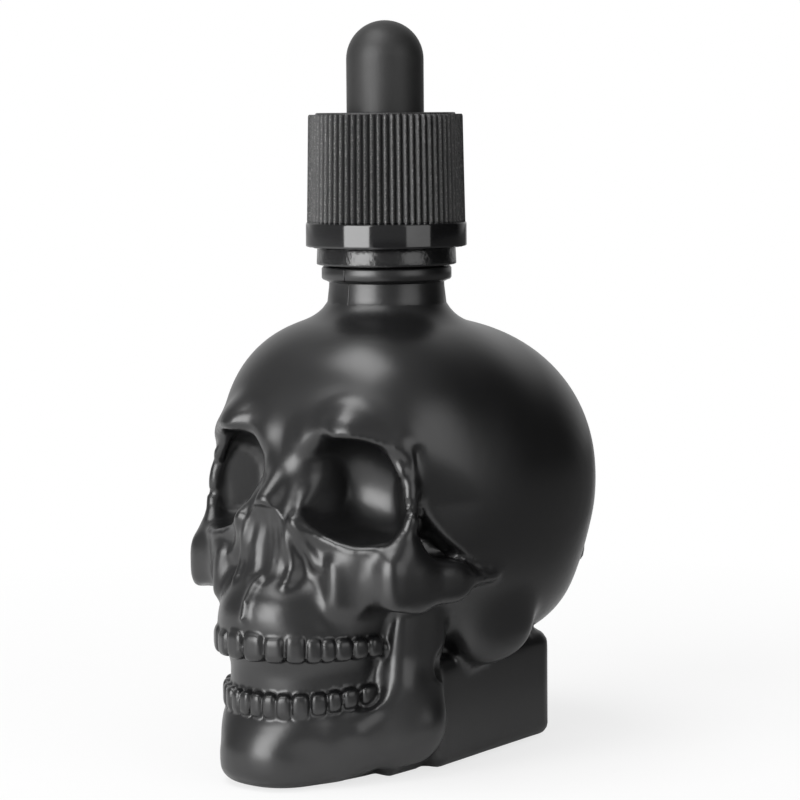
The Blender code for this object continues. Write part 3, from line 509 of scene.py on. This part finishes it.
# The tamper ring: a thin moulded band of black polypropylene that stays on the
# neck when the cap is first opened.  Its inner lip is snapped over a glass bead.
ring_profile = [(9.78, 70.5), (9.94, 70.56), (9.98, 70.68), (9.97, 70.85), (9.88, 73.2), (9.8, 73.35), (9.3, 73.42),
                (9.2, 73.3), (9.2, 71.4), (8.55, 71.4), (8.55, 70.5)]
ring = as_object("band", turned(ring_profile, 144))
rounded(ring)
ring_black = Finish("ring_polypropylene", (0.006, 0.006, 0.0065), 0.33)
wave = ring_black.noise(340, 4, 0.6)
ring_black.give({"Specular IOR Level": 0.8, "Roughness": 0.12 + 0.18 * wave,
                 "Normal": ring_black.bump(wave, 0.6, 0.0003)})
ring.data.materials.append(ring_black.material)
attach(ring, "tamper_ring")
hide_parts("tamper_ring")

# The inner cap: the threaded shell of black polypropylene that the outer cap
# drives through its lugs.  It only shows when the closure is lifted off.
inner_profile = [(9.3, 74.15), (9.45, 73.95), (10.45, 73.95), (10.6, 74.1), (10.6, 74.7), (10.45, 74.85),
                 (10.1, 74.9), (10.1, 87.7), (9.8, 88.0), (5.3, 88.0), (5.2, 87.9), (5.2, 86.8), (5.3, 86.7),
                 (9.1, 86.7), (9.3, 86.5)]
inner = as_object("inner_shell", turned(inner_profile, 128))
combine(inner, thread_ridge(9.3, 8.55, 77.75, 1.25, 3.0), "UNION")
rounded(inner)
inner_black = Finish("inner_polypropylene", (0.018, 0.018, 0.019), 0.42)
inner_black.give({"Normal": inner_black.bump(inner_black.noise(1800, 2), 0.2, 0.00003)})
inner.data.materials.append(inner_black.material)
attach(inner, "inner_cap")
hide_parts("inner_cap")

# The outer cap: a ribbed shell of black polypropylene with a smooth collar,
# moulded in one shot.  Its ribs are grained, with pale specks on their crests that are painted glints; its collar
# is bright.
RIBS = 72
RIB_FOOT, RIB_CREST = 0.0765, 0.0113
made = bmesh.new()
bmesh.ops.create_circle(made, segments=RIBS * 8, radius=1, cap_ends=False)
rim = list(made.edges)
heights = ((76.3, 11.30), (76.9, 11.29), (84.0, 11.14), (91.5, 11.0), (91.75, 10.86))
for i, (height, radius) in enumerate(heights):
    if i:
        grown = bmesh.ops.extrude_edge_only(made, edges=rim)["geom"]
        rim = [g for g in grown if isinstance(g, bmesh.types.BMEdge)]
    for vert in {v for e in rim for v in e.verts}:
        turn = math.atan2(vert.co.y, vert.co.x)
        wave = 0.5 + 0.5 * math.cos(turn * RIBS)
        reach = radius - 0.48 * (1 - wave ** 0.55)
        vert.co = Vector((reach * math.cos(turn), reach * math.sin(turn), height))
bmesh.ops.holes_fill(made, edges=[e for e in made.edges if e.is_boundary], sides=0)
bmesh.ops.recalc_face_normals(made, faces=made.faces)
cap = as_object("ribbed_shell", made)
collar_profile = [(0, 73.1), (11.36, 73.1), (11.45, 73.14), (11.48, 73.24), (11.48, 73.4), (11.46, 76.2),
                  (11.45, 76.34), (11.38, 76.46), (11.25, 76.5), (0, 76.5)]
collar = turned(collar_profile, 192)
for vert in collar.verts:
    if vert.co.z < 73.3 and vert.co.xy.length > 11:
        turn = math.atan2(vert.co.y, vert.co.x)
        vert.co.z -= 0.05 * max(0, math.sin(turn * 9) + 0.7 * math.sin(turn * 23 + 1) + 0.5 * math.sin(turn * 41))
combine(cap, collar, "UNION")
crown_profile = [(0, 91.1), (10.0, 91.1), (9.95, 91.85), (9.88, 91.95), (9.7, 92.0), (0, 92.0)]
combine(cap, turned(crown_profile, 160), "UNION")
hollow_profile = [(0, 72.0), (10.35, 72.0), (10.35, 73.45), (10.9, 73.65), (10.9, 76.05), (10.4, 76.55),
                  (10.4, 90.0), (5.8, 90.0), (5.8, 91.75), (6.1, 92.2), (0, 92.2)]
combine(cap, turned(hollow_profile, 128), "DIFFERENCE")
rounded(cap, 30)
cap_black = Finish("cap_polypropylene", (0.008, 0.008, 0.0085), 0.4)
height = cap_black.node("ShaderNodeSeparateXYZ", None, {"Vector": cap_black.place()}, 2)
across = cap_black.node("ShaderNodeVectorMath", {"operation": "MULTIPLY"}, {0: cap_black.place(), 1: (1, 1, 0)})
across = cap_black.node("ShaderNodeVectorMath", {"operation": "LENGTH"}, {0: across}, 1)
ribbed = cap_black.node("ShaderNodeClamp", None, {"Value": (height - RIB_FOOT) * 3000})
tapered = across + (height - RIB_FOOT) * 0.0205
crest = cap_black.node("ShaderNodeClamp", None, {"Value": 1 + (tapered - RIB_CREST) * 4500})
grain = cap_black.noise(4200, 3, 0.7)
# pale specks on the rib crests: painted glints that stand for light scattered by the etched grain; the grain's bump
# is real
painted_glints = cap_black.node("ShaderNodeMapRange", None, {"Value": grain, "From Min": 0.48, "From Max": 0.70})
cap_black.give({"Specular IOR Level": 0.8, "Roughness": 0.09 + 0.29 * ribbed,
                "Base Color": cap_black.tinted((0.006, 0.006, 0.0065), (0.17, 0.17, 0.165), painted_glints * ribbed * crest),
                "Normal": cap_black.bump(grain * ribbed, 1.0, 0.0001)})
cap.data.materials.append(cap_black.material)
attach(cap, "outer_cap")
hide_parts("outer_cap")

# The bulb: soft black rubber, dull and slightly dusty, pushed up through the
# hole in the cap.  Its flange is clamped between the inner cap and the lip.
bulb_profile = [(3.8, 85.2), (7.7, 85.2), (7.9, 85.4), (7.9, 86.2), (7.7, 86.4), (5.0, 86.4), (4.9, 86.5),
                (4.9, 88.3), (5.2, 88.5), (5.45, 88.9), (5.5, 89.4), (5.5, 94.0)]
bulb_profile += arc(0, 99.5, 5.5, 0, 90, 16) + arc(0, 99.5, 4.3, 90, 0, 10) + [(4.3, 96.0), (3.8, 95.0)]
bulb = as_object("squeeze_bulb", turned(bulb_profile, 96))
rounded(bulb)
rubber = Finish("dull_rubber", (0.014, 0.014, 0.014), 0.5)
dust = rubber.noise(700, 4, 0.7)
rubber.give({"Specular IOR Level": 0.6,
             "Base Color": rubber.tinted((0.009, 0.009, 0.009), (0.020, 0.020, 0.020), dust),
             "Roughness": 0.42 + 0.16 * dust, "Normal": rubber.bump(rubber.noise(3000, 2), 0.25, 0.00003)})
bulb.data.materials.append(rubber.material)
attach(bulb, "dropper")
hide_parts("rubber_bulb")

# The pipette: a clear drawn glass tube, held in the bulb, with its lower end
# drawn down to a fine tip in the flame.
tube_profile = [(0.6, 18.0), (1.1, 18.0), (1.25, 18.1), (1.3, 18.3), (1.42, 21.5), (1.75, 25.0), (2.5, 28.3),
                (3.2, 30.2), (3.45, 31.0), (3.5, 31.8), (3.5, 94.8), (3.35, 95.0), (2.75, 95.0), (2.6, 94.8), (2.6, 31.8),
                (2.45, 30.8), (1.7, 28.4), (1.0, 25.0), (0.7, 21.5), (0.6, 18.6)]
tube = as_object("glass_tube", turned(tube_profile, 64))
rounded(tube, 60)
clear = Finish("clear_glass", (0.97, 0.99, 0.98), 0.03, Transmission_Weight=1.0, IOR=1.47)
clear.give({"Roughness": 0.02 + 0.03 * clear.noise(400, 2)})
tube.data.materials.append(clear.material)
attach(tube, "dropper")
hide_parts("pipette")

# The table and the studio: a white sweep under and behind the bottle, soft boxes
# on the left, above and on the right, a dark wall far to the right, and a long lens.
made = bmesh.new()
bmesh.ops.create_grid(made, x_segments=1, y_segments=1, size=3)
floor = as_object("table_top", made, 1)
floor.data.transform(Matrix.Translation((0, 0, -0.00002)))
table = Finish("white_table", (0.88, 0.88, 0.88), 0.9)
table.give({"Specular IOR Level": 0.1})
glow = table.tree.nodes.new("ShaderNodeEmission")
glow.inputs["Color"].default_value = (1, 1, 1, 1)
reach = table.node("ShaderNodeVectorMath", {"operation": "LENGTH"}, {0: table.place()}, 1)
far = table.node("ShaderNodeClamp", None, {"Value": 0.74 + (reach - 0.08) * 2.5, "Min": 0.74, "Max": 1.0})
seen = table.node("ShaderNodeLightPath")
# painted shade: for all but camera rays the table to the right of the bottle is dark grey, so the bottle reflects a
# dark side there
rightward = table.node("ShaderNodeVectorMath", {"operation": "DOT_PRODUCT"},
                       {0: table.place(), 1: (0.94, 0.34, 0)}, 1)
painted_shade = table.node("ShaderNodeMapRange", {"interpolation_type": "SMOOTHSTEP"},
                    {"Value": rightward * (1 - seen), "From Min": 0.01, "From Max": 0.06})
table.give({"Base Color": table.tinted((0.88, 0.88, 0.88), (0.16, 0.16, 0.16), painted_shade)})
mixed = table.tree.nodes.new("ShaderNodeMixShader")
table.tree.links.new((seen * far).socket, mixed.inputs[0])
table.tree.links.new(table.end.outputs[0], mixed.inputs[1])
table.tree.links.new(glow.outputs[0], mixed.inputs[2])
table.tree.links.new(mixed.outputs[0], table.tree.nodes["Material Output"].inputs["Surface"])
floor.data.materials.append(table.material)

SIDE_OF_CAMERA = 40


def towards(azimuth, elevation):
    """A direction from the bottle; azimuth 0 is the camera's side, more is to its right."""
    a, e = math.radians(SIDE_OF_CAMERA + azimuth), math.radians(elevation)
    return Vector((math.sin(a) * math.cos(e), -math.cos(a) * math.cos(e), math.sin(e)))


world = bpy.data.worlds.new("studio")
bpy.context.scene.world = world
world.use_nodes = True
sky = Nodes(world.node_tree, world.node_tree.nodes["Background"])
looked = sky.node("ShaderNodeTexCoord", None, None, 0)


def patch(azimuth, elevation, low, high):
    """How far a direction lies inside a soft round patch of the room, 0 to 1."""
    near = sky.node("ShaderNodeVectorMath", {"operation": "DOT_PRODUCT"},
                    {0: looked, 1: towards(azimuth, elevation)}, 1)
    return sky.node("ShaderNodeMapRange", {"interpolation_type": "SMOOTHSTEP"},
                    {"Value": near, "From Min": low, "From Max": high})


grey = (0.28 - 0.27 * patch(100, -5, 0.30, 0.80)) + 0.45 * patch(180, 10, 0.5, 0.9)
path = sky.tree.nodes.new("ShaderNodeLightPath")
camera_ray, glossy_ray = Value(sky, path.outputs["Is Camera Ray"]), Value(sky, path.outputs["Is Glossy Ray"])
room = glossy_ray * grey + (1 - glossy_ray) * 0.45
sky.give({"Color": (1, 1, 1, 1), "Strength": camera_ray + (1 - camera_ray) * room})


def soft_box(name, azimuth, elevation, distance, width, height, radiance):
    """An area lamp that looks at the middle of the bottle."""
    light = bpy.data.lights.new(name, "AREA")
    light.shape = "RECTANGLE"
    light.size, light.size_y = width, height
    light.energy = radiance * math.pi * width * height
    lamp = bpy.data.objects.new(name, light)
    bpy.context.scene.collection.objects.link(lamp)
    way = towards(azimuth, elevation)
    lamp.location = Vector((0, 0, 0.05)) + way * distance
    lamp.rotation_euler = way.to_track_quat("Z", "Y").to_euler()


soft_box("top_box", -60, 68, 1.2, 0.8, 0.6, 4.6)
soft_box("left_box", -43, 10, 1.2, 0.84, 1.1, 6.2)
soft_box("right_box", 47, 10, 1.2, 0.8, 1.0, 1.3)

lens = bpy.data.cameras.new("photo_camera")
lens.lens = 126.76
lens.sensor_width = 36
lens.clip_start = 0.01
lens.clip_end = 50
camera = bpy.data.objects.new("photo_camera", lens)
bpy.context.scene.collection.objects.link(camera)
camera.matrix_world = (Matrix.Translation((0.25981, -0.30688, 0.09206))
                       @ Matrix.Rotation(math.radians(SIDE_OF_CAMERA), 4, "Z")
                       @ Matrix.Rotation(math.radians(90 - 5.84), 4, "X")
                       @ Matrix.Rotation(math.radians(-0.45), 4, "Z"))
bpy.context.scene.camera = camera
bpy.context.scene.view_settings.view_transform = "Standard"
